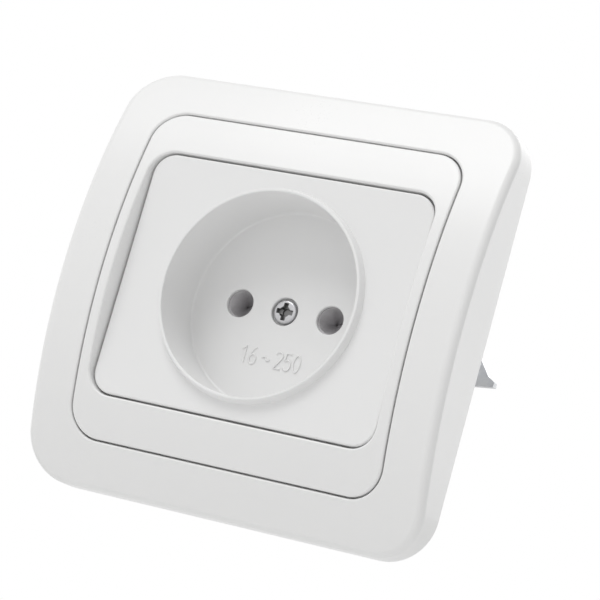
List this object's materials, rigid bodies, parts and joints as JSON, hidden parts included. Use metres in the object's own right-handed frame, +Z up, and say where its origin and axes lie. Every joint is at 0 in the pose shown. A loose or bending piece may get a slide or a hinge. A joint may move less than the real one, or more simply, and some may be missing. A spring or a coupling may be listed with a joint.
{
  "type": "flush wall socket",
  "caption": "Arched square wall socket: frame, inset surround, flat plate with a round plug well and pin holes, centre screw, steel support plate and spreading claws.",
  "frame": {"origin": "centre of the two box screw slots in the wall plane", "axes": "+X right, +Y into the wall, +Z up, the face looks along -Y"},
  "size_m": [0.082, 0.0415, 0.082],
  "materials": {
    "white_plastic": "white moulded plastic, soft gloss",
    "base_plastic": "pale moulded insulating plastic, matt",
    "zinc_steel": "zinc plated steel",
    "brass": "plain brass",
    "spring_steel": "spring steel"
  },
  "bodies": {
    "socket": {"cover_frame": "white_plastic", "frame_insert": "white_plastic", "centre_plate": "white_plastic", "centre_screw": "zinc_steel", "centre_nut": "zinc_steel", "support_plate": "zinc_steel", "base_rivets": "brass", "socket_base": "base_plastic", "contact_left": "brass", "contact_right": "brass", "contact_spring_left": "spring_steel", "contact_spring_right": "spring_steel"},
    "clamp_plate_left": {"clamp_plate_left": "zinc_steel"},
    "terminal_screw_left": {"terminal_screw_left": "zinc_steel"},
    "claw_left": {"claw_left": "zinc_steel"},
    "claw_screw_left": {"claw_screw_left": "zinc_steel"},
    "clamp_plate_right": {"clamp_plate_right": "zinc_steel"},
    "terminal_screw_right": {"terminal_screw_right": "zinc_steel"},
    "claw_right": {"claw_right": "zinc_steel"},
    "claw_screw_right": {"claw_screw_right": "zinc_steel"}
  },
  "joints": [
    {"name": "claw_slide_left", "type": "slide", "parent": "socket", "child": "claw_left", "axis": [-0.3162, -0.9487, 0], "range_m": [0, 0.008]},
    {"name": "claw_turn_left", "type": "hinge", "parent": "socket", "child": "claw_screw_left", "pos_m": [-0.0282, 0, 0], "axis": [0, 1, 0], "range_deg": [0, 4560]},
    {"name": "clamp_slide_left", "type": "slide", "parent": "socket", "child": "clamp_plate_left", "axis": [0, 0, 1], "range_m": [0, 0.0024]},
    {"name": "terminal_turn_left", "type": "hinge", "parent": "clamp_plate_left", "child": "terminal_screw_left", "pos_m": [-0.0095, 0.0156, 0.012], "axis": [0, 0, 1], "range_deg": [0, 1240]},
    {"name": "claw_slide_right", "type": "slide", "parent": "socket", "child": "claw_right", "axis": [0.3162, -0.9487, 0], "range_m": [0, 0.008]},
    {"name": "claw_turn_right", "type": "hinge", "parent": "socket", "child": "claw_screw_right", "pos_m": [0.0282, 0, 0], "axis": [0, 1, 0], "range_deg": [0, 4560]},
    {"name": "clamp_slide_right", "type": "slide", "parent": "socket", "child": "clamp_plate_right", "axis": [0, 0, 1], "range_m": [0, 0.0024]},
    {"name": "terminal_turn_right", "type": "hinge", "parent": "clamp_plate_right", "child": "terminal_screw_right", "pos_m": [0.0095, 0.0156, 0.012], "axis": [0, 0, 1], "range_deg": [0, 1240]}
  ],
  "couplings": [
    {"joint": "claw_turn_left", "follows": "claw_slide_left", "rad_per_m": 9934.6},
    {"joint": "terminal_turn_left", "follows": "clamp_slide_left", "rad_per_m": 8976},
    {"joint": "claw_turn_right", "follows": "claw_slide_right", "rad_per_m": 9934.6},
    {"joint": "terminal_turn_right", "follows": "clamp_slide_right", "rad_per_m": 8976}
  ]
}
